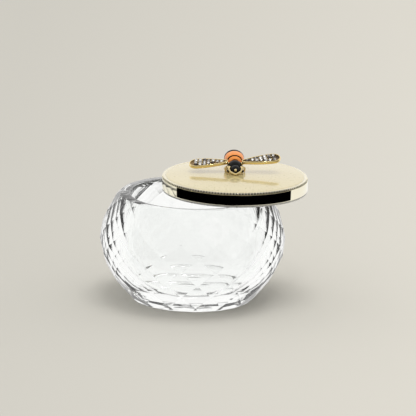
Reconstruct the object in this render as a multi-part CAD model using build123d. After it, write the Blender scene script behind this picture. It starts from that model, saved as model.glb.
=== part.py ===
"""Cut-crystal dappen dish with a pale gold lid and a jewelled bee finial.

The row frame has its origin at the centre of the dish's foot, +Z up, and the bee faces -Y.
The dish is a thick glass bowl, ground on the outside into staggered rows of flat lozenge facets,
with a smooth round hollow. The lid is a shallow metal cap that stands on a clear seal ring, and
it is drawn where it lies across the rim with part of the mouth uncovered. All sizes are in mm.
"""

from build123d import *
import math
import os

# ---- Glass bowl -------------------------------------------------------------------------------
BOWL_HEIGHT = 37.0
FACETS_AROUND = 16
FACET_TURN = 4.0  # degrees that the facet pattern is turned about +Z
GIRTH_HEIGHT = 21.2  # height of the widest ring of facet corners
GIRTH_RADIUS = 32.3  # radius of that ring of corners
FACET_STEP = 4.85  # height from one ring of corners to the next
LOWEST_ROW, HIGHEST_ROW = -5, 4  # rows of facets, counted from the girth
RIM_RADIUS = 25.5  # outer edge of the flat ground rim
MOUTH_RADIUS = 21.8
MOUTH_ROUNDING = 0.5
HOLLOW_RADIUS = 25.3  # the hollow at its widest
HOLLOW_WIDEST_HEIGHT = 21.0
FLOOR_THICKNESS = 4.8
FLOOR_RADIUS = 12.5  # flat middle of the hollow's floor

# ---- Where the lid lies -----------------------------------------------------------------------
LID_OFFSET = 15.5  # from the dish's axis to the lid's axis
LID_BEARING = 23.2  # degrees from +X towards +Y
LID_TURN = 2.5  # degrees that the lid, with its bee, is turned about its own axis
FIT_GAP = 0.02  # between faces that rest on each other

# ---- Seal ring --------------------------------------------------------------------------------
SEAL_INNER_RADIUS = 21.2
SEAL_OUTER_RADIUS = 25.2
SEAL_THICKNESS = 0.5
SEAL_RIB_RADII = (23.1, 24.0)
SEAL_RIB_HEIGHT = 1.9

# ---- Lid shell and milled ring ----------------------------------------------------------------
LID_RADIUS = 25.4
SKIRT_HEIGHT = 3.75  # plain band below the milled ring
SKIRT_WALL = 1.0
LID_EDGE_HEIGHT = 4.6
LID_DOME_RISE = 0.8
LID_TOP_THICKNESS = 1.0
RING_SEAT_RADIUS = 24.5
RING_HEIGHT = 0.82
RING_CREST_RADIUS = 25.4
RING_ROOT_RADIUS = 25.05
RING_BEVEL = 0.5
RING_TEETH = 150

# ---- Liner, a shallow cup pressed up inside the lid to cover the finial's screw -----------------
LINER_RADIUS = 22.7
LINER_WALL = 1.0
LINER_HEIGHT = 3.7

# ---- Finial fixing ----------------------------------------------------------------------------
SCREW_RADIUS = 0.95
SCREW_HOLE_RADIUS = 1.15
SCREW_DEPTH_IN_BEE = 1.6
SCREW_HEAD_RADIUS = 1.9
SCREW_HEAD_HEIGHT = 1.0
SCREW_SLOT = (0.5, 0.45)  # width and depth
WASHER_RADIUS = 3.0
WASHER_THICKNESS = 0.4

# ---- Bee, in its own frame: origin at the top of the lid, head towards -Y ------------------------
ABDOMEN_CENTRE = (0, 8.4, 3.2)
ABDOMEN_HALF_LENGTH = 6.0
ABDOMEN_RADIUS = 3.55
ABDOMEN_FLATNESS = 0.82  # its height over its width
ENAMEL_DEPTH = 0.35
STRIPES = ((4.15, 4.65), (8.3, 11.2), (12.4, 12.9))  # from and to, along Y
ABDOMEN_HEM_HEIGHT = 1.2  # the enamel ends this far above the lid
THORAX_CENTRE = (0, 1.9, 1.35)
THORAX_RADIUS = 2.85
THORAX_HEM_HEIGHT = 1.2
HEAD_CENTRE = (0, -1.1, 1.2)
HEAD_RADIUS = 1.95
HEAD_HEM_HEIGHT = 0.45
FACE_BEAD_RADIUS = 0.5
FACE_BEAD_RISE = 0.6  # above the head's centre
EYE_RADIUS = 0.55
EYE_BEARING = 14.0  # degrees forward of sideways
PAD_RADIUS = 2.2
FEELER_RADIUS = 0.34
LEG_RADIUS = 0.28
LEG_PAIRS = ((-40, 2.3), (-4, 1.6), (34, 1.6))  # bearing from sideways, height of the hip
LEG_KNEE_REACH, LEG_FOOT_REACH = 3.65, 3.35  # from the thorax's axis

# ---- Wings: each lies in its own frame, with its root at the origin and its span along +X ---------
WING_LENGTH, WING_CHORD = 13.7, 5.8
WING_THICKNESS = 1.15
WING_RIM_WIDTH = 0.45
WING_POCKET_DEPTH = 0.4
WING_ROOT_WIDTH = 1.6
WING_ROOT = (2.4, 1.9, 3.55)
WING_SWEEP = 7.0  # degrees towards the tail
WING_PITCH = 14.0  # degrees, trailing edge up
LEFT_WING_RISE, RIGHT_WING_RISE = -5.5, 5.5  # degrees from root to tip
STONE_RADIUS = 0.68
STONE_HEIGHT = 0.75
STONE_PITCH = 1.5
STONE_SIDES = 8
STONE_TABLE_SHARE = 0.55
GRAIN_RADIUS = 0.24


def facet_frustum(row):
    """The sixteen-sided frustum whose flat sides are one row of lozenge facets.

    Corner rings are FACET_STEP apart and follow a cosine, which is the one profile on which
    four corners of every lozenge share a plane.
    """
    half_pitch = math.pi / FACETS_AROUND
    corner_radius = GIRTH_RADIUS * math.cos(row * half_pitch)
    slope = -GIRTH_RADIUS * math.sin(row * half_pitch) * math.sin(half_pitch) / FACET_STEP
    row_height = GIRTH_HEIGHT + row * FACET_STEP
    turn = FACET_TURN + (row % 2) * math.degrees(half_pitch)

    def outline(height):
        flat_radius = corner_radius * math.cos(half_pitch) + slope * (height - row_height)
        sides = RegularPolygon(flat_radius, FACETS_AROUND, major_radius=False, rotation=turn)
        return Pos(0, 0, height) * sides

    return loft([outline(0), outline(BOWL_HEIGHT)], ruled=True)


def glass_bowl():
    blank_radius = GIRTH_RADIUS + 1
    rim_bevel = make_face(
        Polyline(
            (0, 0), (blank_radius, 0), (blank_radius, BOWL_HEIGHT - (blank_radius - RIM_RADIUS)),
            (RIM_RADIUS, BOWL_HEIGHT), (0, BOWL_HEIGHT), (0, 0),
        )
    )
    body = revolve(Plane.XZ * rim_bevel, Axis.Z)
    for row in range(LOWEST_ROW, HIGHEST_ROW + 1):
        body = body & facet_frustum(row)

    lip_height = BOWL_HEIGHT - MOUTH_ROUNDING
    floor = Line((0, FLOOR_THICKNESS), (FLOOR_RADIUS, FLOOR_THICKNESS))
    corner = EllipticalCenterArc(
        (FLOOR_RADIUS, HOLLOW_WIDEST_HEIGHT), HOLLOW_RADIUS - FLOOR_RADIUS,
        HOLLOW_WIDEST_HEIGHT - FLOOR_THICKNESS, -90, arc_size=90,
    )
    wall = TangentArc([corner @ 1, (MOUTH_RADIUS, lip_height)], tangent=(0, 1))
    lip = TangentArc(
        [wall @ 1, (MOUTH_RADIUS + MOUTH_ROUNDING, BOWL_HEIGHT)], tangent=wall % 1
    )
    top = Polyline(lip @ 1, (lip @ 1) + Vector(0, 1), (0, BOWL_HEIGHT + 1), (0, FLOOR_THICKNESS))
    hollow = revolve(Plane.XZ * make_face([floor, corner, wall, lip, top]), Axis.Z)
    return body - hollow


def seal_ring():
    """Clear ring with a flat underside and a rib that plugs up into the lid. Its underside is at z 0."""
    rib_inner, rib_outer = SEAL_RIB_RADII
    section = Polyline(
        (SEAL_INNER_RADIUS, 0), (SEAL_OUTER_RADIUS, 0), (SEAL_OUTER_RADIUS, SEAL_THICKNESS),
        (rib_outer, SEAL_THICKNESS), (rib_outer, SEAL_THICKNESS + SEAL_RIB_HEIGHT),
        (rib_inner, SEAL_THICKNESS + SEAL_RIB_HEIGHT), (rib_inner, SEAL_THICKNESS),
        (SEAL_INNER_RADIUS, SEAL_THICKNESS), (SEAL_INNER_RADIUS, 0),
    )
    return revolve(Plane.XZ * make_face(section), Axis.Z)


def dome_arc(edge_radius, edge_height, rise):
    """An arc in the XZ section, from the axis down to the edge, level at the axis."""
    return TangentArc([(0, edge_height + rise), (edge_radius, edge_height)], tangent=(1, 0))


def lid_shell():
    """Shallow cap with a domed top, a plain skirt and a seat for the milled ring. Skirt edge at z 0."""
    inner_radius = LID_RADIUS - SKIRT_WALL
    edge_radius = RING_SEAT_RADIUS - 0.3
    outside = dome_arc(edge_radius, LID_EDGE_HEIGHT, LID_DOME_RISE)
    inside_height = LID_EDGE_HEIGHT - LID_TOP_THICKNESS
    inside = dome_arc(inner_radius, inside_height, LID_DOME_RISE)
    skirt = Polyline(
        outside @ 1, (RING_SEAT_RADIUS, LID_EDGE_HEIGHT - 0.3), (RING_SEAT_RADIUS, SKIRT_HEIGHT),
        (LID_RADIUS, SKIRT_HEIGHT), (LID_RADIUS, 0), (inner_radius, 0), inside @ 1,
    )
    axis_side = Line(inside @ 0, outside @ 0)
    shell = revolve(Plane.XZ * make_face([outside, skirt, inside, axis_side]), Axis.Z)
    return shell - Pos(0, 0, LID_EDGE_HEIGHT) * Cylinder(SCREW_HOLE_RADIUS, 6)


def milled_ring():
    """Coin-edged ring round the top of the skirt, with upright teeth."""
    half_tooth = math.pi / RING_TEETH
    points = []
    for step in range(2 * RING_TEETH):
        radius = RING_CREST_RADIUS if step % 2 else RING_ROOT_RADIUS
        points.append((radius * math.cos(step * half_tooth), radius * math.sin(step * half_tooth)))
    toothed = extrude(make_face(Polyline(*points, close=True)), RING_HEIGHT)
    inner_radius = RING_SEAT_RADIUS + FIT_GAP
    outer_radius = RING_CREST_RADIUS + 0.2
    bevel_foot = RING_HEIGHT - RING_BEVEL - (outer_radius - RING_CREST_RADIUS)
    bevelled = Polyline(
        (inner_radius, 0), (outer_radius, 0), (outer_radius, bevel_foot),
        (RING_CREST_RADIUS - RING_BEVEL, RING_HEIGHT), (inner_radius, RING_HEIGHT), (inner_radius, 0),
    )
    return Pos(0, 0, SKIRT_HEIGHT + FIT_GAP) * (toothed & revolve(Plane.XZ * make_face(bevelled), Axis.Z))


def lid_liner():
    """Shallow cup, open upwards, with its underside level with the skirt's edge."""
    section = Polyline(
        (0, 0), (LINER_RADIUS, 0), (LINER_RADIUS, LINER_HEIGHT), (LINER_RADIUS - LINER_WALL, LINER_HEIGHT),
        (LINER_RADIUS - LINER_WALL, LINER_WALL), (0, LINER_WALL), (0, 0),
    )
    return revolve(Plane.XZ * make_face(section), Axis.Z)


def spindle(half_length, radius):
    """Egg along the Y axis through ABDOMEN_CENTRE, rounded at both ends and a little flattened."""
    half = make_face(
        [
            EllipticalCenterArc((0, 0), half_length, radius, 0, arc_size=180),
            Line((-half_length, 0), (half_length, 0)),
        ]
    )
    along_y = Plane(origin=(0, 0, 0), x_dir=(0, 1, 0), z_dir=(1, 0, 0))
    egg = revolve(along_y * half, Axis.Y)
    return Pos(*ABDOMEN_CENTRE) * scale(egg, by=(1, 1, ABDOMEN_FLATNESS))


def above(height, shape):
    """What is left of a shape above a level."""
    return shape & Pos(0, 5, height + 10) * Box(40, 40, 20)


def slab(start, end):
    """Everything above the lid between two stations along Y."""
    return Pos(0, (start + end) / 2, 5) * Box(12, end - start, 10)


def abdomen_skin():
    inner = spindle(ABDOMEN_HALF_LENGTH - ENAMEL_DEPTH, ABDOMEN_RADIUS - ENAMEL_DEPTH)
    skin = spindle(ABDOMEN_HALF_LENGTH, ABDOMEN_RADIUS) - inner
    return above(ABDOMEN_HEM_HEIGHT, skin) - Pos(*THORAX_CENTRE) * Sphere(THORAX_RADIUS)


def abdomen_stripes():
    """Black stripes across the abdomen, one solid each."""
    skin = abdomen_skin()
    return [skin & slab(start, end) for start, end in STRIPES]


def abdomen_bands():
    """Amber enamel bands between the black stripes, one solid each."""
    skin = abdomen_skin()
    tail = ABDOMEN_CENTRE[1] + ABDOMEN_HALF_LENGTH + 1
    starts = [0] + [end + FIT_GAP for _, end in STRIPES]
    ends = [start - FIT_GAP for start, _ in STRIPES] + [tail]
    return [skin & slab(start, end) for start, end in zip(starts, ends)]


def enamel_cap(centre, radius, hem_height):
    """A bowl-shaped skin of enamel over the top of a ball."""
    skin = Pos(*centre) * (Sphere(radius) - Sphere(radius - ENAMEL_DEPTH))
    return above(hem_height, skin)


def thorax_enamel():
    """Black enamel over the thorax, ending where the head begins."""
    return enamel_cap(THORAX_CENTRE, THORAX_RADIUS, THORAX_HEM_HEIGHT) - Pos(*HEAD_CENTRE) * Sphere(HEAD_RADIUS)


def face_bead():
    x, y, z = HEAD_CENTRE
    forwards = math.sqrt(HEAD_RADIUS**2 - FACE_BEAD_RISE**2)
    return Pos(x, y - forwards, z + FACE_BEAD_RISE) * Sphere(FACE_BEAD_RADIUS)


def head_enamel():
    """Black enamel over the head, with the bead of the face let into it."""
    behind = Pos(*THORAX_CENTRE) * Sphere(THORAX_RADIUS - ENAMEL_DEPTH)
    return enamel_cap(HEAD_CENTRE, HEAD_RADIUS, HEAD_HEM_HEIGHT) - behind - face_bead()


def eyes():
    """Two small black beads at the sides of the head."""
    x, y, z = HEAD_CENTRE
    reach = HEAD_RADIUS + EYE_RADIUS + FIT_GAP
    sideways = reach * math.cos(math.radians(EYE_BEARING))
    forwards = reach * math.sin(math.radians(EYE_BEARING))
    return [Pos(x + side * sideways, y - forwards, z) * Sphere(EYE_RADIUS) for side in (-1, 1)]


def bee_body():
    """The gold casting under the enamel: abdomen, thorax, head and the pad that stands on the lid."""
    core = (
        spindle(ABDOMEN_HALF_LENGTH, ABDOMEN_RADIUS)
        + Pos(*THORAX_CENTRE) * Sphere(THORAX_RADIUS)
        + Pos(*HEAD_CENTRE) * Sphere(HEAD_RADIUS)
    )
    core = above(0.15, core) + Pos(0, 0, 0.5) * Cylinder(PAD_RADIUS, 1.0)
    for inlay in [*abdomen_bands(), *abdomen_stripes(), thorax_enamel(), head_enamel(), face_bead()]:
        core = core - inlay
    tapped_hole = Pos(0, 0, SCREW_DEPTH_IN_BEE / 2) * Cylinder(SCREW_RADIUS + FIT_GAP, SCREW_DEPTH_IN_BEE)
    return core - tapped_hole


def wire(path, radius):
    return sweep(Plane(path @ 0, z_dir=path % 0) * Circle(radius), path=path)


def feelers():
    """Two gold wires that leave the sides of the head and meet in a V in front of it."""
    x, y, z = HEAD_CENTRE
    made = []
    for side in (-1, 1):
        root = Vector(x + side * 1.95, y - 0.1, z + 1.28)
        elbow = Vector(x + side * 2.4, y - 1.4, z + 0.65)
        end = Vector(x + side * 0.35, y - 2.42, z - 0.55)
        made.append(wire(FilletPolyline(root, elbow, end, radius=0.6), FEELER_RADIUS))
    return made


def legs():
    """Three pairs of short bent legs, from the thorax out and down to the lid."""
    x, y, z = THORAX_CENTRE
    made = []
    for side in (-1, 1):
        for bearing_back, hip_height in LEG_PAIRS:
            turned = math.radians(bearing_back)
            out = Vector(side * math.cos(turned), math.sin(turned), 0)
            surface = math.sqrt(THORAX_RADIUS**2 - (hip_height - z) ** 2)
            hip = Vector(x, y, hip_height) + out * (surface + LEG_RADIUS + FIT_GAP)
            knee = Vector(x, y, hip_height + 0.1) + out * LEG_KNEE_REACH
            foot = Vector(x, y, LEG_RADIUS + 0.02) + out * LEG_FOOT_REACH
            made.append(wire(FilletPolyline(hip, knee, foot, radius=0.25), LEG_RADIUS))
    return made


def wing_outline(inset=0.0):
    """Teardrop in plan, narrow at the root and round at the tip."""
    tip_radius = WING_CHORD / 2 - inset
    tip_centre = WING_LENGTH - WING_CHORD / 2
    root = WING_ROOT_WIDTH / 2 - inset * 0.6
    upper = Spline(
        (inset, root), (WING_LENGTH * 0.42, WING_CHORD * 0.41 - inset), (tip_centre, tip_radius),
        tangents=[(1, 0.2), (1, 0)],
    )
    lower = mirror(upper, about=Plane.XZ)
    tip = ThreePointArc((tip_centre, tip_radius), (tip_centre + tip_radius, 0), (tip_centre, -tip_radius))
    end = Line((inset, root), (inset, -root))
    return make_face([upper, tip, lower, end])


def wing_plate():
    plate = extrude(wing_outline(), WING_THICKNESS)
    pocket = extrude(wing_outline(WING_RIM_WIDTH), WING_POCKET_DEPTH + 0.1)
    return plate - Pos(0, 0, WING_THICKNESS - WING_POCKET_DEPTH) * pocket


def stone():
    """A flat-backed cut stone with a table on top. Its back is at z 0."""
    girdle = RegularPolygon(STONE_RADIUS, STONE_SIDES)
    table = Pos(0, 0, STONE_HEIGHT) * RegularPolygon(STONE_RADIUS * STONE_TABLE_SHARE, STONE_SIDES)
    waist = Pos(0, 0, STONE_HEIGHT * 0.4) * girdle
    return extrude(girdle, STONE_HEIGHT * 0.4) + loft([waist, table], ruled=True)


def stone_columns():
    """Stations along the span, each with how many stones stand side by side there."""
    tip_centre = WING_LENGTH - WING_CHORD / 2
    columns = []
    along = WING_RIM_WIDTH + STONE_RADIUS + 1.1
    while along < WING_LENGTH - WING_RIM_WIDTH - STONE_RADIUS:
        if along < tip_centre:
            swell = math.sin(along / tip_centre * math.pi / 2)
            half = WING_ROOT_WIDTH / 2 + (WING_CHORD - WING_ROOT_WIDTH) / 2 * swell
        else:
            half = math.sqrt((WING_CHORD / 2) ** 2 - (along - tip_centre) ** 2)
        room = max(0.0, 2 * (half - WING_RIM_WIDTH - STONE_RADIUS * 1.1))
        columns.append((along, 1 + int(room / STONE_PITCH)))
        along += STONE_PITCH
    return columns


def across(count):
    return [(place - (count - 1) / 2) * STONE_PITCH for place in range(count)]


def wing_location(side, rise):
    """Where a wing's own frame sits on the bee. The left wing is the right one turned half round."""
    x, y, z = WING_ROOT
    heading = WING_SWEEP if side > 0 else 180 - WING_SWEEP
    tilt = Rot(side * WING_PITCH, 0, 0) * Pos(0, 0, -WING_THICKNESS / 2)
    return Pos(side * x, y, z) * Rot(0, 0, heading) * Rot(0, -rise, 0) * tilt


def wing_parts(side, rise):
    """One side's wing, its stones and the grains that hold them, in the bee's frame."""
    place = wing_location(side, rise)
    floor = WING_THICKNESS - WING_POCKET_DEPTH + FIT_GAP
    columns = stone_columns()
    cut = stone()
    stones = [place * Pos(u, v, floor) * cut for u, count in columns for v in across(count)]
    grain = Sphere(GRAIN_RADIUS)
    grains = []
    for (u, count), (_, next_count) in zip(columns, columns[1:]):
        if count == next_count and count > 1:
            height = floor + GRAIN_RADIUS
            grains += [place * Pos(u + STONE_PITCH / 2, v, height) * grain for v in across(count - 1)]
    return {"wing": place * wing_plate(), "wing_stones": stones, "wing_grains": grains}


def finial_screw():
    """Slotted screw that comes up through the lid into the bee. Its head's underside is at z 0."""
    under_bee = LID_TOP_THICKNESS + WASHER_THICKNESS + 2 * FIT_GAP
    length = under_bee + SCREW_DEPTH_IN_BEE - 0.2
    head = Pos(0, 0, -SCREW_HEAD_HEIGHT / 2) * Cylinder(SCREW_HEAD_RADIUS, SCREW_HEAD_HEIGHT)
    shank = Pos(0, 0, length / 2) * Cylinder(SCREW_RADIUS, length)
    slot_width, slot_depth = SCREW_SLOT
    slot = Pos(0, 0, -SCREW_HEAD_HEIGHT + slot_depth / 2) * Box(9, slot_width, slot_depth)
    return head + shank - slot


def finial_washer():
    """Flat washer, with its underside at z 0."""
    ring = Cylinder(WASHER_RADIUS, WASHER_THICKNESS) - Cylinder(SCREW_HOLE_RADIUS, WASHER_THICKNESS)
    return Pos(0, 0, WASHER_THICKNESS / 2) * ring


def write(name, shape, place=Location()):
    """Writes one node. A list of solids becomes one group of separate solids."""
    solids = [piece for part in (shape if isinstance(shape, list) else [shape]) for piece in part.solids()]
    moved = [place * solid for solid in solids]
    export_step(moved[0] if len(moved) == 1 else Compound(children=moved), f"parts/{name}.step")


os.makedirs("parts", exist_ok=True)

bearing = math.radians(LID_BEARING)
lid_axis = Pos(LID_OFFSET * math.cos(bearing), LID_OFFSET * math.sin(bearing), 0) * Rot(0, 0, LID_TURN)
seal_place = lid_axis * Pos(0, 0, BOWL_HEIGHT + FIT_GAP)
lid_place = seal_place * Pos(0, 0, SEAL_THICKNESS + FIT_GAP)
bee_place = lid_place * Pos(0, 0, LID_EDGE_HEIGHT + LID_DOME_RISE)
washer_place = bee_place * Pos(0, 0, -LID_TOP_THICKNESS - WASHER_THICKNESS - 2 * FIT_GAP)

write("glass_bowl", glass_bowl())
write("seal_ring", seal_ring(), seal_place)
write("lid_shell", lid_shell(), lid_place)
write("milled_ring", milled_ring(), lid_place)
write("lid_liner", lid_liner(), lid_place)
write("bee_body", bee_body(), bee_place)
write("abdomen_enamel", abdomen_bands(), bee_place)
write("abdomen_stripes", abdomen_stripes(), bee_place)
write("thorax_enamel", thorax_enamel(), bee_place)
write("head_enamel", head_enamel(), bee_place)
write("face_bead", face_bead(), bee_place)
write("bee_eyes", eyes(), bee_place)
write("bee_feelers", feelers(), bee_place)
write("bee_legs", legs(), bee_place)
for side_name, side, rise in (("left", -1, LEFT_WING_RISE), ("right", 1, RIGHT_WING_RISE)):
    for piece_name, piece in wing_parts(side, rise).items():
        write(f"{side_name}_{piece_name}", piece, bee_place)
write("finial_washer", finial_washer(), washer_place)
write("finial_screw", finial_screw(), washer_place * Pos(0, 0, -FIT_GAP))
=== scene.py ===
"""Looks of the cut-crystal dish, its pale gold lid and the bee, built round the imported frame.

Lengths in the shape code are in millimetres and become metres when a mesh is made.
"""

import math

import bmesh
import bpy
from mathutils import Matrix, Vector


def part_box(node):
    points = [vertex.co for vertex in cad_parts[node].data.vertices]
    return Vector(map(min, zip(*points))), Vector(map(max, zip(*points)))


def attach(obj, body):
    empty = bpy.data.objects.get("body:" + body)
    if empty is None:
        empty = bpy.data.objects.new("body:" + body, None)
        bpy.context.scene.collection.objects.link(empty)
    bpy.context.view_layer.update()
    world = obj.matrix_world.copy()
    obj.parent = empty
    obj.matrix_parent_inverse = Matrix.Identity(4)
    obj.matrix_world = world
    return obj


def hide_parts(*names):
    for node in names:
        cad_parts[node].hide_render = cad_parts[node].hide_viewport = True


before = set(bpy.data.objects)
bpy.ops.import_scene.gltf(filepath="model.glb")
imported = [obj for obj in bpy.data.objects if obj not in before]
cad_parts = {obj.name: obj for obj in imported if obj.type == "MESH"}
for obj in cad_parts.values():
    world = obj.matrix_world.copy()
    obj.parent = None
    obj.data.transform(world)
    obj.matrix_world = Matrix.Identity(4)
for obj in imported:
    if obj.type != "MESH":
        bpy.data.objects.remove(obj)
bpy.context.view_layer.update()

MM = 0.001


# ---- Placing ----------------------------------------------------------------------------------
def box_mm(node):
    """Low and high corner of a node's box, in millimetres."""
    low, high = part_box(node)
    return Vector(low) / MM, Vector(high) / MM


seal_low, seal_high = box_mm("seal_ring")
lid_low, lid_high = box_mm("lid_shell")
BOWL_HEIGHT = box_mm("glass_bowl")[1].z
LID_X = (seal_low.x + seal_high.x) / 2
LID_Y = (seal_low.y + seal_high.y) / 2
LID_TURN = math.radians(2.5)
# LID is for shapes drawn upwards from the skirt's lower edge, and BEE for those that stand on the lid's top.
LID = Matrix.Translation((LID_X, LID_Y, lid_low.z)) @ Matrix.Rotation(LID_TURN, 4, "Z")
BEE = Matrix.Translation((LID_X, LID_Y, lid_high.z)) @ Matrix.Rotation(LID_TURN, 4, "Z")


# ---- Mesh helpers -----------------------------------------------------------------------------
def make_piece(name, bm, place, body, slot, nodes, *materials):
    """Turns a bmesh in millimetres into a piece that rides on a body and stands for CAD nodes."""
    bmesh.ops.recalc_face_normals(bm, faces=bm.faces)
    bm.transform(Matrix.Scale(MM, 4) @ place)
    mesh = bpy.data.meshes.new(name)
    bm.to_mesh(mesh)
    bm.free()
    for material in materials:
        mesh.materials.append(material)
    piece = bpy.data.objects.new(name, mesh)
    bpy.context.scene.collection.objects.link(piece)
    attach(piece, body)
    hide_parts(*nodes)


def smooth(bm, angle=30.0):
    """Shades smooth, with edges sharper than the angle left crisp."""
    for face in bm.faces:
        face.smooth = True
    limit = math.radians(angle)
    for edge in bm.edges:
        if len(edge.link_faces) == 2:
            edge.smooth = edge.calc_face_angle(0.0) < limit


def rounded(points, radius, steps=5):
    """A closed outline with its corners rounded. A point may carry its own radius as a third value."""
    made = []
    count = len(points)
    for i in range(count):
        here = Vector(points[i][:2])
        before = Vector(points[i - 1][:2])
        after = Vector(points[(i + 1) % count][:2])
        own = points[i][2] if len(points[i]) > 2 else radius
        to_before, to_after = (before - here), (after - here)
        room = min(to_before.length, to_after.length) * 0.49
        if own <= 0 or to_before.length < 1e-6 or to_after.length < 1e-6:
            made.append(here)
            continue
        to_before.normalize()
        to_after.normalize()
        half = to_before.angle(to_after) / 2
        if abs(math.cos(half)) < 0.02:
            made.append(here)
            continue
        reach = min(own / math.tan(half), room)
        for step in range(steps + 1):
            t = step / steps
            a = here + to_before * reach
            b = here + to_after * reach
            made.append(a * (1 - t) ** 2 + here * 2 * t * (1 - t) + b * t**2)
    return made


def ring_of_verts(bm, radius, height, segments):
    turns = [2 * math.pi * i / segments for i in range(segments)]
    return [bm.verts.new((radius * math.cos(t), radius * math.sin(t), height)) for t in turns]


def stitch(bm, low, high):
    """Joins two rings of the same length with a band of four-sided faces."""
    count = len(low)
    made = []
    for i in range(count):
        j = (i + 1) % count
        made.append(bm.faces.new((low[i], low[j], high[j], high[i])))
    return made


def lathe(profile, segments, closed=True):
    """Revolves an outline of (radius, height) about Z. Points on the axis become poles."""
    bm = bmesh.new()
    rings = []
    for radius, height in profile:
        if radius < 1e-6:
            rings.append([bm.verts.new((0, 0, height))])
        else:
            rings.append(ring_of_verts(bm, radius, height, segments))
    pairs = list(zip(rings, rings[1:]))
    if closed:
        pairs.append((rings[-1], rings[0]))
    for low, high in pairs:
        for i in range(segments):
            j = (i + 1) % segments
            corners = []
            for vert in (low[i % len(low)], low[j % len(low)], high[j % len(high)], high[i % len(high)]):
                if vert not in corners:
                    corners.append(vert)
            if len(corners) > 2:
                bm.faces.new(corners)
    return bm


# ---- Materials --------------------------------------------------------------------------------
def new_material(name):
    material = bpy.data.materials.new(name)
    material.use_nodes = True
    tree = material.node_tree
    return material, tree, tree.nodes["Principled BSDF"]


def noise(tree, scale, detail=3.0, roughness=0.5, stretch=None):
    """Object-space noise, with the scale in cycles per metre."""
    where = tree.nodes.new("ShaderNodeTexCoord")
    made = tree.nodes.new("ShaderNodeTexNoise")
    made.inputs["Scale"].default_value = scale
    made.inputs["Detail"].default_value = detail
    made.inputs["Roughness"].default_value = roughness
    if stretch:
        mapping = tree.nodes.new("ShaderNodeMapping")
        mapping.inputs["Scale"].default_value = stretch
        tree.links.new(where.outputs["Object"], mapping.inputs["Vector"])
        tree.links.new(mapping.outputs["Vector"], made.inputs["Vector"])
    else:
        tree.links.new(where.outputs["Object"], made.inputs["Vector"])
    return made.outputs["Fac"]


def spread(tree, source, low, high, from_low=0.3, from_high=0.7, curve="LINEAR"):
    """Maps the source onto low to high. Noise is mostly between 0.3 and 0.7, the range taken by default."""
    made = tree.nodes.new("ShaderNodeMapRange")
    made.interpolation_type = curve
    made.inputs["From Min"].default_value = from_low
    made.inputs["From Max"].default_value = from_high
    made.inputs["To Min"].default_value = low
    made.inputs["To Max"].default_value = high
    tree.links.new(source, made.inputs["Value"])
    return made.outputs["Result"]


def blend_colours(tree, source, first, second, from_low=0.3, from_high=0.7):
    """Goes from the first colour to the second as the source rises."""
    ramp = tree.nodes.new("ShaderNodeValToRGB")
    ramp.color_ramp.elements[0].position = from_low
    ramp.color_ramp.elements[0].color = (*first, 1)
    ramp.color_ramp.elements[1].position = from_high
    ramp.color_ramp.elements[1].color = (*second, 1)
    tree.links.new(source, ramp.inputs["Fac"])
    return ramp.outputs["Color"]


def bump(tree, shader, source, distance, strength):
    """Raises the shading by the source, with the distance in metres."""
    made = tree.nodes.new("ShaderNodeBump")
    made.inputs["Strength"].default_value = strength
    made.inputs["Distance"].default_value = distance
    tree.links.new(source, made.inputs["Height"])
    tree.links.new(made.outputs["Normal"], shader.inputs["Normal"])


def crystal():
    material, tree, shader = new_material("cut_crystal")
    shader.inputs["Transmission Weight"].default_value = 1.0
    shader.inputs["Roughness"].default_value = 0.0
    shader.inputs["IOR"].default_value = 1.52
    shader.inputs["Base Color"].default_value = (0.985, 0.995, 0.988, 1)
    bump(tree, shader, noise(tree, 60, 2.0), 0.00004, 0.25)
    return material


def plated(name, first, second, rough_low, rough_high, ripple=0.000004):
    """Polished plating: faint colour drift, hairline wipe marks in the gloss and a slight ripple."""
    material, tree, shader = new_material(name)
    shader.inputs["Metallic"].default_value = 1.0
    tree.links.new(blend_colours(tree, noise(tree, 90), first, second), shader.inputs["Base Color"])
    wipes = noise(tree, 900, 4.0, 0.6, (1.0, 0.12, 1.0))
    tree.links.new(spread(tree, wipes, rough_low, rough_high), shader.inputs["Roughness"])
    bump(tree, shader, noise(tree, 70, 1.0), ripple, 0.6)
    return material


def enamel(name, first, second, gloss, rough=(0.08, 0.2)):
    """Fired enamel: slight clouding in the colour, a soft gloss and the faint waves of a poured surface."""
    material, tree, shader = new_material(name)
    tree.links.new(blend_colours(tree, noise(tree, 700, 3.0), first, second), shader.inputs["Base Color"])
    tree.links.new(spread(tree, noise(tree, 2500), *rough), shader.inputs["Roughness"])
    shader.inputs["Specular IOR Level"].default_value = gloss
    bump(tree, shader, noise(tree, 500, 2.0), 0.00002, 0.5)
    return material


def lacquered_top():
    """The lid's top: half satin pale gold under clear lacquer, which mirrors the bee only faintly."""
    material, tree, shader = new_material("pale_gold_lacquered")
    drift = noise(tree, 45, 2.0)
    colour = blend_colours(tree, drift, (0.62, 0.515, 0.24), (0.67, 0.565, 0.285))
    tree.links.new(colour, shader.inputs["Base Color"])
    tree.links.new(spread(tree, noise(tree, 1200, 4.0), 0.26, 0.36), shader.inputs["Roughness"])
    shader.inputs["Metallic"].default_value = 0.2
    shader.inputs["Coat Weight"].default_value = 1.0
    shader.inputs["Coat Roughness"].default_value = 0.015
    bump(tree, shader, noise(tree, 50, 1.0), 0.00001, 0.5)
    return material


def moulded(name, colour, dark, transmission=0.0):
    """Moulded plastic or rubber: even, with a fine grain."""
    material, tree, shader = new_material(name)
    tree.links.new(blend_colours(tree, noise(tree, 300), dark, colour), shader.inputs["Base Color"])
    tree.links.new(spread(tree, noise(tree, 1500), 0.25, 0.4), shader.inputs["Roughness"])
    shader.inputs["Transmission Weight"].default_value = transmission
    bump(tree, shader, noise(tree, 4000), 0.00001, 0.4)
    return material


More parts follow.
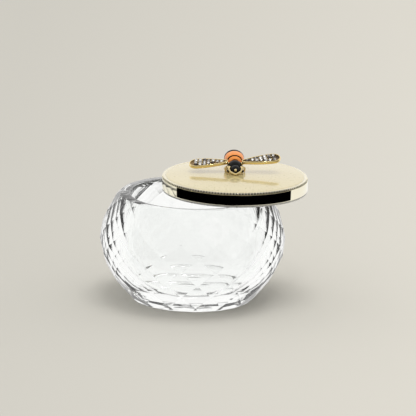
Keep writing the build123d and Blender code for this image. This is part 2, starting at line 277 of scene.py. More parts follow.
def gemstone():
    material, tree, shader = new_material("cut_stone")
    shader.inputs["Transmission Weight"].default_value = 1.0
    shader.inputs["Roughness"].default_value = 0.0
    shader.inputs["IOR"].default_value = 1.6
    colour = blend_colours(tree, noise(tree, 600), (0.93, 0.94, 0.95), (1, 1, 1))
    tree.links.new(colour, shader.inputs["Base Color"])
    return material


def foil_with_painted_reflections():
    """Foil behind the stones, bright silver, with dark brown patches from stone to stone that are painted
    dark reflections of the stones.
    """
    material, tree, shader = new_material("stone_foil")
    colour = blend_colours(tree, noise(tree, 620, 1.0), (0.05, 0.028, 0.012), (0.96, 0.93, 0.87), 0.41, 0.52)
    tree.links.new(colour, shader.inputs["Base Color"])
    tree.links.new(spread(tree, noise(tree, 2000), 0.02, 0.1), shader.inputs["Roughness"])
    shader.inputs["Metallic"].default_value = 1.0
    return material


CRYSTAL = crystal()
LID_GOLD = plated("pale_gold", (0.86, 0.81, 0.64), (0.90, 0.85, 0.68), 0.02, 0.05)
LID_TOP = lacquered_top()
TOOTH_GOLD = plated("pale_gold_milled", (0.88, 0.80, 0.60), (0.93, 0.87, 0.68), 0.05, 0.12)
BEE_GOLD = plated("bee_gold", (0.83, 0.64, 0.30), (0.92, 0.76, 0.42), 0.08, 0.18, 0.00001)
# The pocket floor under the stones, dark brown to near black: painted shade between the stones.
PAINTED_SHADE_SEAT = plated("painted_shade_seat", (0.03, 0.018, 0.01), (0.42, 0.27, 0.11), 0.2, 0.4)
AMBER = enamel("amber_enamel", (0.80, 0.25, 0.045), (0.90, 0.33, 0.07), 0.3)
BLACK = enamel("black_enamel", (0.0015, 0.0015, 0.0015), (0.004, 0.0038, 0.0035), 0.22)
SATIN_BLACK = enamel(
    "satin_black_enamel", (0.002, 0.002, 0.002), (0.005, 0.0045, 0.004), 0.05, (0.4, 0.55)
)
GEM = gemstone()
FOIL = foil_with_painted_reflections()
SILICONE = moulded("clear_silicone", (0.84, 0.82, 0.77), (0.76, 0.74, 0.68), transmission=0.5)
LINER = moulded("liner_plastic", (0.88, 0.87, 0.84), (0.82, 0.81, 0.78))
STEEL = plated("plain_steel", (0.55, 0.55, 0.56), (0.68, 0.68, 0.69), 0.2, 0.35)


# ---- Glass bowl -------------------------------------------------------------------------------
FACETS_AROUND = 16
FACET_TURN = 4.0
GIRTH_HEIGHT, GIRTH_RADIUS, FACET_STEP = 21.2, 32.3, 4.85
FACET_ROWS = range(-5, 5)
RIM_RADIUS, MOUTH_RADIUS, MOUTH_ROUNDING = 25.5, 21.8, 0.5
HOLLOW_RADIUS, HOLLOW_WIDEST_HEIGHT = 25.3, 21.0
FLOOR_THICKNESS, FLOOR_RADIUS = 4.8, 12.5
WELL_RADIUS, WELL_CREASE = 15.5, 1.2  # edge of the flat floor, and the rounding of the crease round it
DIMPLE = ((7.0, 0.0), (5.9, 0.0), (5.4, 0.04), (4.9, 0.08), (2.5, 0.08))  # radius and depth, on the floor
ARRIS, ARRIS_LENGTH = 0.1, 1.2  # rounding of the edges between facets, and the shortest edge that gets it
BLANK_SIZE = 90


def grind(bm, point, normal):
    """Cuts away everything outside a plane and closes the cut with one flat face."""
    geometry = list(bm.verts) + list(bm.edges) + list(bm.faces)
    cut = bmesh.ops.bisect_plane(
        bm, geom=geometry, plane_co=point, plane_no=normal, clear_outer=True, dist=1e-5
    )
    edges = [item for item in cut["geom_cut"] if isinstance(item, bmesh.types.BMEdge)]
    if len(edges) > 2:
        bmesh.ops.contextual_create(bm, geom=edges)


def faceted_blank():
    """A block ground to staggered rows of flat facets, tangent to one curve, and cut off at the rim."""
    bm = bmesh.new()
    bmesh.ops.create_cube(bm, size=BLANK_SIZE, matrix=Matrix.Translation((0, 0, BLANK_SIZE / 2)))
    half_pitch = math.pi / FACETS_AROUND
    for row in FACET_ROWS:
        flat_radius = GIRTH_RADIUS * math.cos(row * half_pitch) * math.cos(half_pitch)
        slope = -GIRTH_RADIUS * math.sin(row * half_pitch) * math.sin(half_pitch) / FACET_STEP
        for i in range(FACETS_AROUND):
            turn = math.radians(FACET_TURN) + half_pitch * (2 * i + 1 + row % 2)
            out = Vector((math.cos(turn), math.sin(turn), 0))
            normal = (out - Vector((0, 0, slope))).normalized()
            grind(bm, out * flat_radius + Vector((0, 0, GIRTH_HEIGHT + row * FACET_STEP)), normal)
    grind(bm, Vector((0, 0, BOWL_HEIGHT)), Vector((0, 0, 1)))
    return bm


def hollow_profile():
    """(radius, height) of the hollow, from the rounded lip of the mouth down to the middle of the floor."""
    lip_height = BOWL_HEIGHT - MOUTH_ROUNDING
    wall = []
    for step in range(7):
        t = math.pi / 2 * step / 6
        across = MOUTH_RADIUS + MOUTH_ROUNDING * (1 - math.sin(t))
        wall.append((across, lip_height + MOUTH_ROUNDING * math.cos(t)))
    inward = HOLLOW_RADIUS - MOUTH_RADIUS
    rise = lip_height - HOLLOW_WIDEST_HEIGHT
    wall_radius = (inward**2 + rise**2) / (2 * inward)
    sweep = math.asin(rise / wall_radius)
    for step in range(1, 17):
        t = sweep * (1 - step / 16)
        across = HOLLOW_RADIUS - wall_radius * (1 - math.cos(t))
        wall.append((across, HOLLOW_WIDEST_HEIGHT + wall_radius * math.sin(t)))
    for step in range(1, 33):
        t = math.pi / 2 * step / 32
        across = FLOOR_RADIUS + (HOLLOW_RADIUS - FLOOR_RADIUS) * math.cos(t)
        if across > WELL_RADIUS + 1.3:
            depth = (HOLLOW_WIDEST_HEIGHT - FLOOR_THICKNESS) * math.sin(t)
            wall.append((across, HOLLOW_WIDEST_HEIGHT - depth))
    corner = [wall[-1], (WELL_RADIUS, FLOOR_THICKNESS), (WELL_RADIUS - 2.5, FLOOR_THICKNESS)]
    steps = 8
    crease = rounded(corner, WELL_CREASE, steps)[steps + 1:2 * (steps + 1)]  # the middle corner's own arc
    dimple = [(radius, FLOOR_THICKNESS - depth) for radius, depth in DIMPLE]
    return wall + [tuple(point) for point in crease] + dimple


def crystal_bowl():
    bm = faceted_blank()
    long_edges = [edge for edge in bm.edges if edge.calc_length() > ARRIS_LENGTH]
    bmesh.ops.bevel(
        bm, geom=long_edges, offset=ARRIS, segments=2, profile=0.5, affect="EDGES", clamp_overlap=True
    )
    chamfer_sides = 96
    for i in range(chamfer_sides):
        turn = 2 * math.pi * i / chamfer_sides
        out = Vector((math.cos(turn), math.sin(turn), 0))
        grind(bm, out * RIM_RADIUS + Vector((0, 0, BOWL_HEIGHT)), (out + Vector((0, 0, 1))).normalized())
    for face in bm.faces:
        face.smooth = False

    level = [face for face in bm.faces if face.normal.z > 0.99]
    topmost = [face for face in level if face.calc_center_median().z > BOWL_HEIGHT - 0.01]
    rim = max(topmost, key=lambda face: face.calc_area())
    rim_edges = list(rim.edges)
    bmesh.ops.delete(bm, geom=[rim], context="FACES_ONLY")
    segments = 192
    rings = [ring_of_verts(bm, radius, height, segments) for radius, height in hollow_profile()]
    inside = []
    for high, low in zip(rings, rings[1:]):
        inside += stitch(bm, high, low)
    inside.append(bm.faces.new(rings[-1]))
    for face in inside:
        face.smooth = True
    mouth_edges = [bm.edges.get((rings[0][i], rings[0][(i + 1) % segments])) for i in range(segments)]
    bmesh.ops.bridge_loops(bm, edges=rim_edges + mouth_edges)
    make_piece("crystal_bowl", bm, Matrix(), "bowl", "crystal", ["glass_bowl"], CRYSTAL)


# ---- Lid --------------------------------------------------------------------------------------
LID_RADIUS, SKIRT_HEIGHT, SKIRT_WALL = 25.4, 3.75, 1.0
LID_EDGE_HEIGHT, LID_DOME_RISE, LID_TOP_THICKNESS = 4.6, 0.8, 1.0
EDGE_BEVEL, EDGE_DROP = 0.3, 0.25  # across and down, where the lid's top meets the milled ring
RING_SEAT_RADIUS, RING_HEIGHT, RING_BEVEL = 24.5, 0.82, 0.78
RING_CREST_RADIUS, RING_ROOT_RADIUS, RING_TEETH = 25.4, 25.05, 150
BEVEL_SLOPE = 0.38  # how far the bevel comes in for each millimetre that it rises
TOOTH_GAIN, TOOTH_CUT = 1.8, 0.6  # the zigzag of the teeth is made steeper, then cut flat at crest and root
TOOTH_HEIGHTS = (0.0, 0.03, 0.08, 0.18, 0.28, 0.38, 0.48, 0.58, 0.68, 0.76, RING_HEIGHT)


def dome(radius, edge_radius, edge_height):
    """Height of the dome's arc at a radius."""
    curve = (edge_radius**2 + LID_DOME_RISE**2) / (2 * LID_DOME_RISE)
    return edge_height + LID_DOME_RISE - curve + math.sqrt(curve**2 - radius**2)


def dome_profile(edge_radius, edge_height, steps):
    """(radius, height) from the middle of a dome out to its edge."""
    places = [edge_radius * i / steps for i in range(steps + 1)]
    return [(place, dome(place, edge_radius, edge_height)) for place in places]


def lid_cap():
    inner = LID_RADIUS - SKIRT_WALL
    top = dome_profile(RING_SEAT_RADIUS - EDGE_BEVEL, LID_EDGE_HEIGHT, 40)
    under = dome_profile(inner, LID_EDGE_HEIGHT - LID_TOP_THICKNESS, 24)
    skirt = rounded(
        [(RING_SEAT_RADIUS, LID_EDGE_HEIGHT - EDGE_DROP, 0.1), (RING_SEAT_RADIUS, SKIRT_HEIGHT, 0),
         (LID_RADIUS, SKIRT_HEIGHT, 0.02), (LID_RADIUS, 0, 0.3), (inner, 0, 0.25)], 0.1,
    )
    bm = lathe(top + [tuple(point) for point in skirt] + under[::-1], 256, closed=False)
    smooth(bm, 35)
    lacquered_above = LID_EDGE_HEIGHT - 0.2
    for face in bm.faces:
        if face.calc_center_median().z > lacquered_above:
            face.material_index = 1
    make_piece("lid_cap", bm, LID, "lid", "lid_gold", ["lid_shell"], LID_GOLD, LID_TOP)


def lid_teeth():
    """The milled edge: each tooth is a rounded upright rib whose top runs out on the bevel."""
    per_tooth = 12
    count = RING_TEETH * per_tooth
    base = SKIRT_HEIGHT + 0.02
    bm = bmesh.new()
    rings = []
    for height in TOOTH_HEIGHTS:
        bevel_limit = RING_CREST_RADIUS - BEVEL_SLOPE * max(0.0, height - (RING_HEIGHT - RING_BEVEL))
        ring = []
        for i in range(count):
            ridge = 1 - abs(2 * (i % per_tooth) / per_tooth - 1)
            wave = min(1.0, max(0.0, TOOTH_GAIN * ridge - TOOTH_CUT))
            radius = min(RING_ROOT_RADIUS + (RING_CREST_RADIUS - RING_ROOT_RADIUS) * wave, bevel_limit)
            turn = 2 * math.pi * i / count
            ring.append(bm.verts.new((radius * math.cos(turn), radius * math.sin(turn), base + height)))
        rings.append(ring)
    hidden_radius = RING_SEAT_RADIUS - 0.25  # the ring's inner side, sunk into the cap
    hidden = ((hidden_radius, RING_HEIGHT + 0.005), (hidden_radius, 0.2), (RING_SEAT_RADIUS + 0.1, 0.0))
    for radius, height in hidden:
        rings.append(ring_of_verts(bm, radius, base + height, count))
    for low, high in zip(rings, rings[1:] + rings[:1]):
        stitch(bm, low, high)
    smooth(bm, 40)
    make_piece("lid_teeth", bm, LID, "lid", "lid_gold", ["milled_ring"], TOOTH_GOLD)


# ---- Bee --------------------------------------------------------------------------------------
ABDOMEN = Vector((0, 8.4, 3.2))
ABDOMEN_HALF, ABDOMEN_RADIUS, ABDOMEN_FLATNESS = 6.0, 3.55, 0.82
STRIPES = ((4.15, 4.65), (8.3, 11.2), (12.4, 12.9))
THORAX, THORAX_RADIUS = Vector((0, 1.9, 1.35)), 2.85
HEAD, HEAD_RADIUS = Vector((0, -1.1, 1.2)), 1.95
HEM, HEAD_HEM = 1.2, 0.45
AMBER_START, AMBER_LIFT = 3.0, -0.06  # the amber lies slightly lower than the black stripes
SOFT_WIDTH, SOFT_DROP = 0.25, 0.1  # how far in an inlay's soft edge reaches, and how far down it falls
FACE_BED, ABDOMEN_BED = 0.12, 0.35  # how deep the gold lies under the head and thorax, and the abdomen
PAD_RADIUS, PAD_TOP, PAD_GAP = 2.15, 1.0, 0.02
LEGS = ((-40, 2.3), (-4, 1.6), (34, 1.6))  # degrees back from straight out, and the height of the hip
KNEE_REACH, SHIN_REACH, FOOT_REACH = 3.75, 3.45, 3.35


def pillow(t, width):
    """Falls from 1 to 0 over the last part of a span, so that an inlay has soft edges."""
    edge = min(t, 1 - t) * width
    return 1.0 if edge > SOFT_WIDTH else math.sqrt(max(0.0, 1 - (1 - edge / SOFT_WIDTH) ** 2))


def abdomen_band(start, end, lift):
    """One enamel band round the egg of the abdomen, with soft edges, cut off level at the hem."""
    depth = 0.33
    steps = 20
    first = math.acos((ABDOMEN.y - start) / ABDOMEN_HALF)
    last = math.acos(max(-1.0, (ABDOMEN.y - end) / ABDOMEN_HALF))
    outer, inner = [], []
    for step in range(steps + 1):
        t = step / steps
        along = first + (last - first) * t
        girth = ABDOMEN_RADIUS * math.sin(along)
        height = -ABDOMEN_HALF * math.cos(along)
        soft = pillow(t, end - start) if last < math.pi else pillow(t / 2, 2 * (end - start))
        outer.append((max(0.0, girth + lift - SOFT_DROP * (1 - soft)), height))
        inner.append((max(0.0, girth - depth), height * (1 - depth / ABDOMEN_HALF)))
    bm = lathe(outer + inner[::-1], 72)
    lie_down = Matrix.Rotation(math.radians(-90), 4, "X")
    bm.transform(Matrix.Translation(ABDOMEN) @ Matrix.Diagonal((1, 1, ABDOMEN_FLATNESS, 1)) @ lie_down)
    bmesh.ops.remove_doubles(bm, verts=bm.verts, dist=1e-4)
    geometry = list(bm.verts) + list(bm.edges) + list(bm.faces)
    cut = bmesh.ops.bisect_plane(
        bm, geom=geometry, plane_co=(0, 0, HEM), plane_no=(0, 0, 1), clear_inner=True, dist=1e-5
    )
    edges = [item for item in cut["geom_cut"] if isinstance(item, bmesh.types.BMEdge)]
    if edges:
        bmesh.ops.edgeloop_fill(bm, edges=edges)
    return bm


def join(parts):
    """Puts several bmeshes into one, and frees them."""
    bm = bmesh.new()
    for part in parts:
        mesh = bpy.data.meshes.new("join")
        part.to_mesh(mesh)
        part.free()
        bm.from_mesh(mesh)
        bpy.data.meshes.remove(mesh)
    return bm


def enamel_dome(centre, radius, hem):
    """Enamel over a ball from its crown to the hem, with a soft lower edge."""
    depth = 0.3
    lowest = math.acos((hem - centre.z) / radius)
    outer, inner = [], []
    steps = 28
    for i in range(steps + 1):
        t = lowest * i / steps
        soft = pillow(1 - (steps - i) / (2 * steps), 2 * lowest * radius) if i > steps // 2 else 1.0
        out = radius - SOFT_DROP * (1 - soft)
        outer.append((out * math.sin(t), out * math.cos(t)))
        inner.append(((radius - depth) * math.sin(t), (radius - depth) * math.cos(t)))
    bm = lathe(outer + inner[::-1], 64, closed=False)
    bm.transform(Matrix.Translation(centre))
    return bm


def ellipsoid(centre, radii):
    bm = bmesh.new()
    bmesh.ops.create_icosphere(bm, subdivisions=5, radius=1.0)
    bm.transform(Matrix.Translation(centre) @ Matrix.Diagonal((*radii, 1)))
    return bm


def tube(points, radii, sides=14, steps=24):
    """A tapering round wire along a smooth curve through control points, with domed ends."""
    def at(t):
        order = len(points) - 1
        total = Vector((0, 0, 0))
        for i, p in enumerate(points):
            total += Vector(p) * (math.comb(order, i) * t**i * (1 - t) ** (order - i))
        return total

    def width(t):
        place = t * (len(radii) - 1)
        low = min(int(place), len(radii) - 2)
        return radii[low] + (radii[low + 1] - radii[low]) * (place - low)

    bm = bmesh.new()
    rings = []
    side = None
    for i in range(steps + 1):
        t = i / steps
        here = at(t)
        along = (at(min(1, t + 0.01)) - at(max(0, t - 0.01))).normalized()
        if side is None:
            side = along.orthogonal().normalized()
        side = (side - along * side.dot(along)).normalized()
        other = along.cross(side)
        rings.append((here, along, side, other, width(t)))
    verts = []
    first, last = rings[0], rings[-1]
    sections = [(first, -1, 0.9), (first, -1, 0.5)]
    sections += [(ring, 0, 0) for ring in rings]
    sections += [(last, 1, 0.5), (last, 1, 0.9)]
    for (here, along, side, other, radius), direction, push in sections:
        scale = math.sqrt(1 - push**2)
        centre = here + along * direction * push * radius
        verts.append([
            bm.verts.new(centre + (side * math.cos(a) + other * math.sin(a)) * radius * scale)
            for a in (2 * math.pi * k / sides for k in range(sides))
        ])
    for low, high in zip(verts, verts[1:]):
        stitch(bm, low, high)
    bm.faces.new(verts[0])
    bm.faces.new(verts[-1])
    smooth(bm, 60)
    return bm


def casting():
    """Gold body under the enamel, remeshed into one smooth form and ground flat underneath."""
    abdomen = (ABDOMEN_RADIUS, ABDOMEN_HALF, ABDOMEN_RADIUS * ABDOMEN_FLATNESS)
    parts = [
        ellipsoid(ABDOMEN, [half - ABDOMEN_BED for half in abdomen]),
        ellipsoid(THORAX, [THORAX_RADIUS - FACE_BED] * 3),
        ellipsoid(HEAD, [HEAD_RADIUS - FACE_BED] * 3),
    ]
    for side in (-1, 1):
        wing_stub = [(side * 1.7, 2.6, 2.4), (side * 2.6, 2.3, 3.0), (side * 3.1, 2.1, 3.45)]
        parts.append(tube(wing_stub, [0.8, 0.6, 0.5]))
    bm = join(parts)
    mesh = bpy.data.meshes.new("casting_source")
    bm.to_mesh(mesh)
    bm.free()
    source = bpy.data.objects.new("casting_source", mesh)
    bpy.context.scene.collection.objects.link(source)
    remesh = source.modifiers.new("remesh", "REMESH")
    remesh.mode = "VOXEL"
    remesh.voxel_size = 0.14
    soften = source.modifiers.new("soften", "SMOOTH")
    soften.iterations = 6
    soften.factor = 0.6
    graph = bpy.context.evaluated_depsgraph_get()
    solid = bpy.data.meshes.new_from_object(source.evaluated_get(graph))
    bpy.data.objects.remove(source)
    bm = bmesh.new()
    bm.from_mesh(solid)
    bpy.data.meshes.remove(solid)
    underside = 0.16
    grind(bm, Vector((0, 0, underside)), Vector((0, 0, -1)))
    pad = [(0, PAD_GAP, 0), (PAD_RADIUS, PAD_GAP, 0.08), (PAD_RADIUS, PAD_TOP, 0.2), (0, PAD_TOP, 0)]
    bm = join([bm, lathe(rounded(pad, 0.1), 48, closed=False)])
    smooth(bm, 50)
    make_piece("bee_casting", bm, BEE, "lid", "bee_gold", ["bee_body"], BEE_GOLD)


def bee_enamel():
    tail = ABDOMEN.y + ABDOMEN_HALF
    gap = 0.02
    starts = [AMBER_START] + [end + gap for _, end in STRIPES]
    ends = [start - gap for start, _ in STRIPES] + [tail]
    bands = join([abdomen_band(start, end, AMBER_LIFT) for start, end in zip(starts, ends)])
    smooth(bands, 50)
    make_piece("abdomen_amber", bands, BEE, "lid", "amber_enamel", ["abdomen_enamel"], AMBER)
    dark = join([abdomen_band(start, end, 0.0) for start, end in STRIPES])
    smooth(dark, 50)
    make_piece("abdomen_black", dark, BEE, "lid", "black_enamel", ["abdomen_stripes"], SATIN_BLACK)
    thorax = enamel_dome(THORAX, THORAX_RADIUS, HEM)
    smooth(thorax, 50)
    make_piece("thorax_black", thorax, BEE, "lid", "black_enamel", ["thorax_enamel"], BLACK)
    head = enamel_dome(HEAD, HEAD_RADIUS, HEAD_HEM)
    smooth(head, 50)
    make_piece("head_black", head, BEE, "lid", "black_enamel", ["head_enamel"], BLACK)


def bee_wires():
    feelers, legs = [], []
    for side in (-1, 1):
        brow, cheek = (side * 1.95, -1.2, 2.48), (side * 2.6, -2.3, 2.2)
        jaw, chin = (side * 2.3, -3.0, 1.2), (side * 0.1, -3.6, 0.55)
        feelers.append(tube([brow, cheek, jaw, chin], [0.34, 0.3, 0.3, 0.34]))
    for side in (-1, 1):
        for back, hip_height in LEGS:
            turn = math.radians(back)
            out = Vector((side * math.cos(turn), math.sin(turn), 0))
            base = Vector((THORAX.x, THORAX.y, 0))
            surface = math.sqrt(THORAX_RADIUS**2 - (hip_height - THORAX.z) ** 2)
            hip = base + out * (surface + 0.1) + Vector((0, 0, hip_height))
            knee = base + out * KNEE_REACH + Vector((0, 0, hip_height + 0.25))
            shin = base + out * SHIN_REACH + Vector((0, 0, 1.0))
            foot = base + out * FOOT_REACH + Vector((0, 0, 0.3))
            legs.append(tube([hip, knee, shin, foot], [0.28, 0.26, 0.24, 0.28]))
    bm = join(feelers)
    smooth(bm, 60)
    make_piece("bee_face_wires", bm, BEE, "lid", "bee_gold", ["bee_feelers"], BEE_GOLD)
    bm = join(legs)
    smooth(bm, 60)
    make_piece("bee_feet", bm, BEE, "lid", "bee_gold", ["bee_legs"], BEE_GOLD)


# ---- Wings ------------------------------------------------------------------------------------
WING_LENGTH, WING_CHORD, WING_THICKNESS = 13.7, 5.8, 1.15
WING_RIM, WING_POCKET, WING_ROOT_WIDTH = 0.45, 0.4, 1.6
WING_TIP = WING_LENGTH - WING_CHORD / 2  # where the round end begins
WING_ROOT = (2.4, 1.9, 3.55)
WING_SWEEP, WING_PITCH = 7.0, 14.0
WING_RISE = {-1: -5.5, 1: 5.5}
STONE_RADIUS, STONE_HEIGHT, STONE_PITCH = 0.68, 0.75, 1.5
FIRST_STONE = WING_RIM + STONE_RADIUS + 1.1


def wing_place(side):
    x, y, z = WING_ROOT
    heading = WING_SWEEP if side > 0 else 180 - WING_SWEEP
    return (
        BEE
        @ Matrix.Translation((side * x, y, z))
        @ Matrix.Rotation(math.radians(heading), 4, "Z")
        @ Matrix.Rotation(math.radians(-WING_RISE[side]), 4, "Y")
        @ Matrix.Rotation(math.radians(side * WING_PITCH), 4, "X")
        @ Matrix.Translation((0, 0, -WING_THICKNESS / 2))
    )


def wing_half_width(along):
    if along <= WING_TIP:
        growth = math.sin(along / WING_TIP * math.pi / 2)
        return WING_ROOT_WIDTH / 2 + (WING_CHORD - WING_ROOT_WIDTH) / 2 * growth
    return math.sqrt(max(0.0, (WING_CHORD / 2) ** 2 - (along - WING_TIP) ** 2))


def wing_outline():
    upper = [(WING_TIP * i / 30, wing_half_width(WING_TIP * i / 30)) for i in range(31)]
    arc = [
        (WING_TIP + WING_CHORD / 2 * math.sin(math.pi * i / 32), WING_CHORD / 2 * math.cos(math.pi * i / 32))
        for i in range(1, 32)
    ]
    lower = [(x, -y) for x, y in upper[::-1]]
    return [Vector(p) for p in upper + arc + lower]


def offset_outline(points, inset):
    """The outline moved inwards."""
    made = []
    count = len(points)
    for i, here in enumerate(points):
        along = points[(i + 1) % count] - points[i - 1]
        inward = Vector((along.y, -along.x)).normalized()
        made.append(here + inward * inset)
    return made


def wing(side, name):
    """A wing plate: a rolled rim round a shallow pocket, whose floor is coloured dark behind the stones as
    painted shade.
    """
    outline = wing_outline()
    section = [  # inset from the outline and height, from the underside over the rim to the pocket's floor
        (0.35, 0.0), (0.16, 0.05), (0.04, 0.18), (0.0, 0.34), (0.0, 0.82), (0.05, 1.0), (0.14, 1.11),
        (0.24, 1.15), (0.33, 1.13), (0.41, 1.05), (WING_RIM, 0.92), (WING_RIM + 0.02, 0.76), (0.6, 0.75),
    ]
    bm = bmesh.new()
    rings = [[bm.verts.new((p.x, p.y, z)) for p in offset_outline(outline, inset)] for inset, z in section]
    for low, high in zip(rings, rings[1:]):
        stitch(bm, low, high)
    bm.faces.new(rings[0])
    bm.faces.new(rings[-1])
    # The pocket's floor takes the second, dark material: painted shade between the stones.
    pocket_low, pocket_high = 0.7, 0.95
    for face in bm.faces:
        heights = [vert.co.z for vert in face.verts]
        if pocket_low < min(heights) and max(heights) < pocket_high:
            face.material_index = 1
    smooth(bm, 40)
    nodes = [f"{name}_wing"]
    make_piece(f"{name}_wing_plate", bm, wing_place(side), "lid", "bee_gold", nodes, BEE_GOLD, PAINTED_SHADE_SEAT)


def stone_columns():
    """(place along the wing, number of stones across it) for each column that fits in the pocket."""
    columns = []
    along = FIRST_STONE
    while along < WING_LENGTH - WING_RIM - STONE_RADIUS:
        room = max(0.0, 2 * (wing_half_width(along) - WING_RIM - STONE_RADIUS * 1.1))
        columns.append((along, 1 + int(room / STONE_PITCH)))
        along += STONE_PITCH
    return columns


def cut_stone(x, y, z, turn):
    """A round stone: table, crown facets and girdle in crystal, over a foiled eight-sided point."""
    bm = bmesh.new()
    sides = 8

    def ring(radius, height, shift):
        angles = [turn + 2 * math.pi * (k + shift) / sides for k in range(sides)]
        corners = [(x + radius * math.cos(a), y + radius * math.sin(a), z + height) for a in angles]
        return [bm.verts.new(corner) for corner in corners]

    point = bm.verts.new((x, y, z + 0.01))
    low = ring(STONE_RADIUS, STONE_HEIGHT * 0.5, 0)
    girdle = ring(STONE_RADIUS, STONE_HEIGHT * 0.56, 0)
    star = ring(STONE_RADIUS * 0.78, STONE_HEIGHT * 0.84, 0.5)
    table = ring(STONE_RADIUS * 0.5, STONE_HEIGHT, 0)
    for k in range(sides):
        j = (k + 1) % sides
        bm.faces.new((point, low[j], low[k])).material_index = 1
        bm.faces.new((low[k], low[j], girdle[j], girdle[k]))
        bm.faces.new((girdle[k], girdle[j], star[k]))
        bm.faces.new((girdle[k], star[k], table[k], star[k - 1]))
        bm.faces.new((star[k], table[j], table[k]))
    bm.faces.new(table)
    return bm


def stones(side, name):
    seat = WING_THICKNESS - WING_POCKET + 0.02
    cut = []
    for column, (along, count) in enumerate(stone_columns()):
        for place in range(count):
            across = (place - (count - 1) / 2) * STONE_PITCH
            twist = 0.37 * column + 0.61 * place  # so that neighbours catch the light differently
            cut.append(cut_stone(along, across, seat, twist))
    nodes = [f"{name}_wing_stones"]
    make_piece(f"{name}_cut_stones", join(cut), wing_place(side), "lid", "stones", nodes, GEM, FOIL)


# ---- Everything on the object -----------------------------------------------------------------
crystal_bowl()
lid_cap()
lid_teeth()
casting()
bee_enamel()
bee_wires()
for wing_side, wing_name in ((-1, "left"), (1, "right")):
    wing(wing_side, wing_name)
    stones(wing_side, wing_name)

kept = {
    "seal_ring": SILICONE, "lid_liner": LINER, "face_bead": BEE_GOLD, "bee_eyes": BLACK,
    "left_wing_grains": BEE_GOLD, "right_wing_grains": BEE_GOLD,
    "finial_washer": STEEL, "finial_screw": STEEL,
}
for node, kept_material in kept.items():
    for node_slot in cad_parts[node].material_slots:
        node_slot.material = kept_material


# ---- Stage ------------------------------------------------------------------------------------
# The floor's colour goes from darker on the left to brighter on the right: painted light falling from the
# right.
FLOOR_SHADED_LEFT, FLOOR_LIT_RIGHT = (0.555, 0.538, 0.488), (0.64, 0.617, 0.557)
FLOOR_LIGHT_FADE = (-0.08, 0.09)  # metres along X, between which the painted shade on the left turns into the painted light on the right


def floor():
    """Pale paper, hidden from light through glass and from mirrors, which meet the world instead. Its colour
    carries painted light, darker on the left and brighter on the right.
    """
    bm = bmesh.new()
    bmesh.ops.create_circle(bm, cap_ends=True, segments=96, radius=6.0)
    mesh = bpy.data.meshes.new("floor")
    bm.to_mesh(mesh)
    bm.free()
    material, tree, shader = new_material("floor_paper")
    where = tree.nodes.new("ShaderNodeTexCoord")
    axes = tree.nodes.new("ShaderNodeSeparateXYZ")
    tree.links.new(where.outputs["Object"], axes.inputs["Vector"])
    across = spread(tree, axes.outputs["X"], 0, 1, *FLOOR_LIGHT_FADE)
    colour = blend_colours(tree, across, FLOOR_SHADED_LEFT, FLOOR_LIT_RIGHT, 0, 1)
    tree.links.new(colour, shader.inputs["Base Color"])
    shader.inputs["Roughness"].default_value = 0.9
    shader.inputs["Specular IOR Level"].default_value = 0.0
    mesh.materials.append(material)
    made = bpy.data.objects.new("floor", mesh)
    made.visible_transmission = False
    made.visible_glossy = False
    bpy.context.scene.collection.objects.link(made)


floor()

FLAG_RADIUS, FLAG_FIRST, FLAG_LAST = 27.0, -146.5, -36.5
FLAG_LOW, FLAG_HIGH = BOWL_HEIGHT + 0.05, 42.1


def skirt_flag():
    """A black card curved close round the front of the lid at rest, seen only in mirror reflections."""
    bm = bmesh.new()
    low, high = [], []
    steps = 40
    for step in range(steps + 1):
        turn = math.radians(FLAG_FIRST + (FLAG_LAST - FLAG_FIRST) * step / steps)
        x, y = LID_X + FLAG_RADIUS * math.cos(turn), LID_Y + FLAG_RADIUS * math.sin(turn)
        low.append(bm.verts.new((x * MM, y * MM, FLAG_LOW * MM)))
        high.append(bm.verts.new((x * MM, y * MM, FLAG_HIGH * MM)))
    for step in range(steps):
        bm.faces.new((low[step], low[step + 1], high[step + 1], high[step]))
    mesh = bpy.data.meshes.new("skirt_flag")
    bm.to_mesh(mesh)
    bm.free()
    material, tree, shader = new_material("black_flag")
    felt = blend_colours(tree, noise(tree, 900), (0.0005, 0.0005, 0.0005), (0.0015, 0.0014, 0.0013))
    tree.links.new(felt, shader.inputs["Base Color"])
    shader.inputs["Roughness"].default_value = 0.9
    shader.inputs["Specular IOR Level"].default_value = 0.0
    mesh.materials.append(material)
    made = bpy.data.objects.new("skirt_flag", mesh)
    made.visible_camera = False
    made.visible_transmission = False
    made.visible_diffuse = False
    made.visible_shadow = False
    bpy.context.scene.collection.objects.link(made)


skirt_flag()

WALL_LIGHT, WALL_EDGE, WALL_SKEW = 1.0, (0.09, 0.15), -0.03
CEILING_LIGHT, CEILING_EDGE = 0.74, (0.02, 0.25)
NEAR_FLOOR_LIGHT, NEAR_FLOOR_EDGE = 0.62, (-0.45, -0.3)
DARK_SIDE, BELT = 0.14, 0.001  # the room in front, and the black band in it that upright metal mirrors
BELT_FOOT, BELT_HEAD = (-0.31, -0.285), (-0.205, -0.18)
DIM_TINT, BRIGHT_TINT, TINT_EDGE = (0.84, 1.0, 0.9), (1.0, 0.995, 0.985), (0.2, 0.6)


def arithmetic(tree, kind, first, second):
    made = tree.nodes.new("ShaderNodeMath")
    made.operation = kind
    for socket, value in zip(made.inputs, (first, second)):
        if isinstance(value, (int, float)):
            socket.default_value = value
        else:
            tree.links.new(value, socket)
    return made.outputs["Value"]


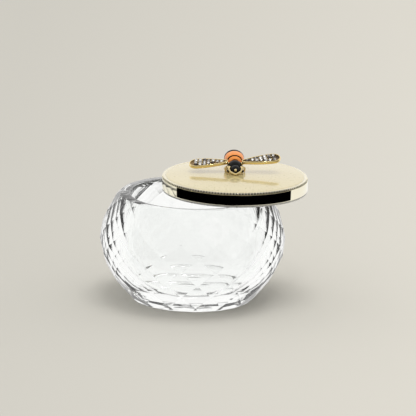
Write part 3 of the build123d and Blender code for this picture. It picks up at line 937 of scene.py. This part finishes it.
def studio_world():
    """A bright wall behind, a bright ceiling, a pale floor close by, and a dark room with a black band."""
    world = bpy.data.worlds.new("studio")
    bpy.context.scene.world = world
    world.use_nodes = True
    tree = world.node_tree
    sky = tree.nodes["Background"]
    direction = tree.nodes.new("ShaderNodeTexCoord")
    axes = tree.nodes.new("ShaderNodeSeparateXYZ")
    tree.links.new(direction.outputs["Generated"], axes.inputs["Vector"])
    height = axes.outputs["Z"]
    skewed = arithmetic(tree, "MULTIPLY", axes.outputs["X"], WALL_SKEW)
    behind = arithmetic(tree, "ADD", axes.outputs["Y"], skewed)
    wall = spread(tree, behind, 0.0, WALL_LIGHT, *WALL_EDGE, "SMOOTHSTEP")
    ceiling = spread(tree, height, 0.0, CEILING_LIGHT, *CEILING_EDGE, "SMOOTHSTEP")
    near_floor = spread(tree, height, NEAR_FLOOR_LIGHT, 0.0, *NEAR_FLOOR_EDGE, "SMOOTHSTEP")
    under_belt = spread(tree, height, DARK_SIDE, BELT, *BELT_FOOT, "SMOOTHSTEP")
    over_belt = spread(tree, height, BELT, DARK_SIDE, *BELT_HEAD, "SMOOTHSTEP")
    level = wall
    for light in (ceiling, near_floor, under_belt, over_belt):
        level = arithmetic(tree, "MAXIMUM", level, light)
    tree.links.new(level, sky.inputs["Strength"])
    tree.links.new(blend_colours(tree, level, DIM_TINT, BRIGHT_TINT, *TINT_EDGE), sky.inputs["Color"])


studio_world()


def softbox(name, place, aim, size, power):
    """A rectangular lamp that shines from its place towards its aim, all in metres and watts."""
    data = bpy.data.lights.new(name, "AREA")
    data.shape = "RECTANGLE"
    data.size, data.size_y = size
    data.energy = power
    light = bpy.data.objects.new(name, data)
    light.location = place
    light.rotation_mode = "QUATERNION"
    light.rotation_quaternion = (Vector(aim) - Vector(place)).to_track_quat("-Z", "Y")
    bpy.context.scene.collection.objects.link(light)
    return light


overhead = softbox("overhead", place=(0.2, 0.0, 2.2), aim=(0.005, 0, 0.03), size=(1.2, 1.1), power=16.0)
overhead.visible_glossy = False
above_camera = softbox(
    "above_camera", place=(0.05, -0.75, 1.1), aim=(0.014, 0, 0.045), size=(0.08, 0.06), power=0.6
)
above_camera.visible_transmission = False


# ---- Camera -----------------------------------------------------------------------------------
ELEVATION, ROLL, DISTANCE = math.radians(14.25), math.radians(1.25), 1.5
SENSOR_WIDTH, LENS = 36.0, 373.8
aim = Vector((5.1, 0, 31.8)) * MM
forward = Vector((0, math.cos(ELEVATION), -math.sin(ELEVATION)))
up = Vector((0, math.sin(ELEVATION), math.cos(ELEVATION)))
right = Vector((1, 0, 0))
rolled_up = up * math.cos(ROLL) - right * math.sin(ROLL)
rolled_right = right * math.cos(ROLL) + up * math.sin(ROLL)
camera = bpy.data.objects.new("camera", bpy.data.cameras.new("camera"))
camera.data.sensor_width = SENSOR_WIDTH
camera.data.lens = LENS
camera.data.clip_start, camera.data.clip_end = 0.05, 50
camera.rotation_mode = "QUATERNION"
camera.location = aim - forward * DISTANCE
camera.rotation_quaternion = Matrix((rolled_right, rolled_up, -forward)).transposed().to_quaternion()
bpy.context.scene.collection.objects.link(camera)
bpy.context.scene.camera = camera
bpy.context.scene.view_settings.view_transform = "Standard"
